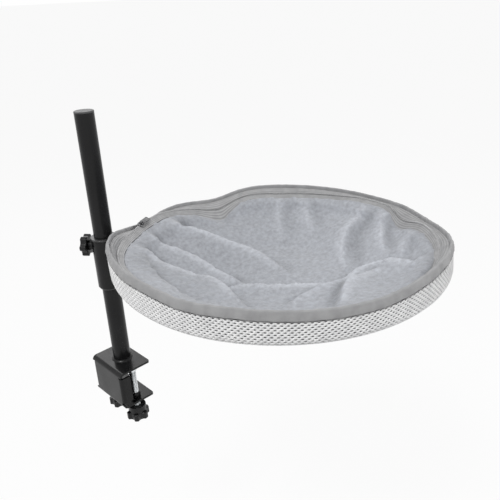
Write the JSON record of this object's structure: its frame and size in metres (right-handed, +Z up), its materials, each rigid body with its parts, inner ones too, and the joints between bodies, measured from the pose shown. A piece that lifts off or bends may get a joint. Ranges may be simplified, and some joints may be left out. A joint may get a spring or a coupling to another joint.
{
  "type": "desk cat bed",
  "caption": "Round plush-lined hammock bed on an arm that turns and slides on a short pole, held to a desk top by a screw clamp.",
  "frame": {"origin": "on the pole's axis, in the plane of the desk's top, where the rubber pad under the upper jaw rests", "axes": "+Z up the pole; +X from the clamp's web into the desk; +Y along the desk's edge"},
  "size_m": [0.4065, 0.4259, 0.435],
  "materials": {
    "black_powder_coat": "gloss black powder coat",
    "hoop_paint": "plain black paint",
    "pad_rubber": "matt black rubber",
    "zinc_steel": "bright zinc plate",
    "knob_plastic": "gloss black moulding",
    "cap_plastic": "satin dark grey moulding",
    "bush_plastic": "black low-friction moulding",
    "air_mesh": "white spacer mesh with small staggered holes",
    "binding_cloth": "grey woven binding",
    "zip_tape": "grey woven zip tape",
    "zip_coil": "grey coil",
    "zip_metal": "grey plated slider",
    "plush": "short pale blue-grey pile"
  },
  "bodies": {
    "clamp": {"clamp_bracket": "black_powder_coat", "jaw_pad": "pad_rubber", "thread_bosses": "black_powder_coat", "pole": "black_powder_coat", "pole_weld": "black_powder_coat", "pole_cap": "cap_plastic"},
    "swivel_right": {"pressure_pad_right": "zinc_steel"},
    "swivel_left": {"pressure_pad_left": "zinc_steel"},
    "hand_screw_right": {"clamp_screw_right": "zinc_steel", "clamp_knob_right": "knob_plastic"},
    "hand_screw_left": {"clamp_screw_left": "zinc_steel", "clamp_knob_left": "knob_plastic"},
    "carriage": {"sleeve_bush_upper": "bush_plastic", "sleeve_bush_lower": "bush_plastic"},
    "bed": {"sleeve": "black_powder_coat", "lock_boss": "black_powder_coat", "arm": "black_powder_coat", "hoop": "hoop_paint", "mesh_band": "air_mesh", "hammock_bottom": "air_mesh", "rim_binding": "binding_cloth", "zipper_tape_outer": "zip_tape", "zipper_coil": "zip_coil", "zipper_tape_inner": "zip_tape", "plush_floor": "plush", "plush_slope": "plush", "plush_side": "plush"},
    "lock_follower": {"lock_tip": "zinc_steel"},
    "lock_hand": {"lock_screw": "zinc_steel", "lock_knob": "knob_plastic"},
    "zip_slider": {"zipper_slider": "zip_metal"},
    "zip_pull": {"zipper_pull": "zip_metal"}
  },
  "joints": [
    {"name": "right_pad_travel", "type": "slide", "parent": "clamp", "child": "swivel_right", "axis": [0, 0, 1], "range_m": [-0.035, 0]},
    {"name": "right_knob_turn", "type": "hinge", "parent": "swivel_right", "child": "hand_screw_right", "pos_m": [-0.001, -0.023, -0.006], "axis": [0, 0, 1], "range_deg": [-8400, 0]},
    {"name": "left_pad_travel", "type": "slide", "parent": "clamp", "child": "swivel_left", "axis": [0, 0, 1], "range_m": [-0.035, 0]},
    {"name": "left_knob_turn", "type": "hinge", "parent": "swivel_left", "child": "hand_screw_left", "pos_m": [-0.001, 0.023, -0.006], "axis": [0, 0, 1], "range_deg": [-8400, 0]},
    {"name": "bed_height", "type": "slide", "parent": "clamp", "child": "carriage", "axis": [0, 0, 1], "range_m": [-0.11, 0.155]},
    {"name": "bed_swivel", "type": "hinge", "parent": "carriage", "child": "bed", "pos_m": [0, 0, 0.154], "axis": [0, 0, 1], "continuous": true},
    {"name": "lock_press", "type": "slide", "parent": "bed", "child": "lock_follower", "axis": [-0.6018, 0.7986, 0], "range_m": [0, 0.004]},
    {"name": "lock_knob_turn", "type": "hinge", "parent": "lock_follower", "child": "lock_hand", "pos_m": [-0.01204, 0.01597, 0.1775], "axis": [-0.6018, 0.7986, 0], "range_deg": [0, 1152]},
    {"name": "zip_travel", "type": "hinge", "parent": "bed", "child": "zip_slider", "pos_m": [0.13842, -0.18369, 0.196], "axis": [0, 0, 1], "range_deg": [0, 330]},
    {"name": "zip_pull_swing", "type": "hinge", "parent": "zip_slider", "child": "zip_pull", "pos_m": [0.04567, -0.02108, 0.20021], "axis": [0.4415, -0.774, -0.454], "range_deg": [0, 160]}
  ],
  "couplings": [
    {"joint": "right_knob_turn", "follows": "right_pad_travel", "rad_per_m": 4188.8},
    {"joint": "left_knob_turn", "follows": "left_pad_travel", "rad_per_m": 4188.8},
    {"joint": "lock_knob_turn", "follows": "lock_press", "rad_per_m": 5026.5}
  ]
}
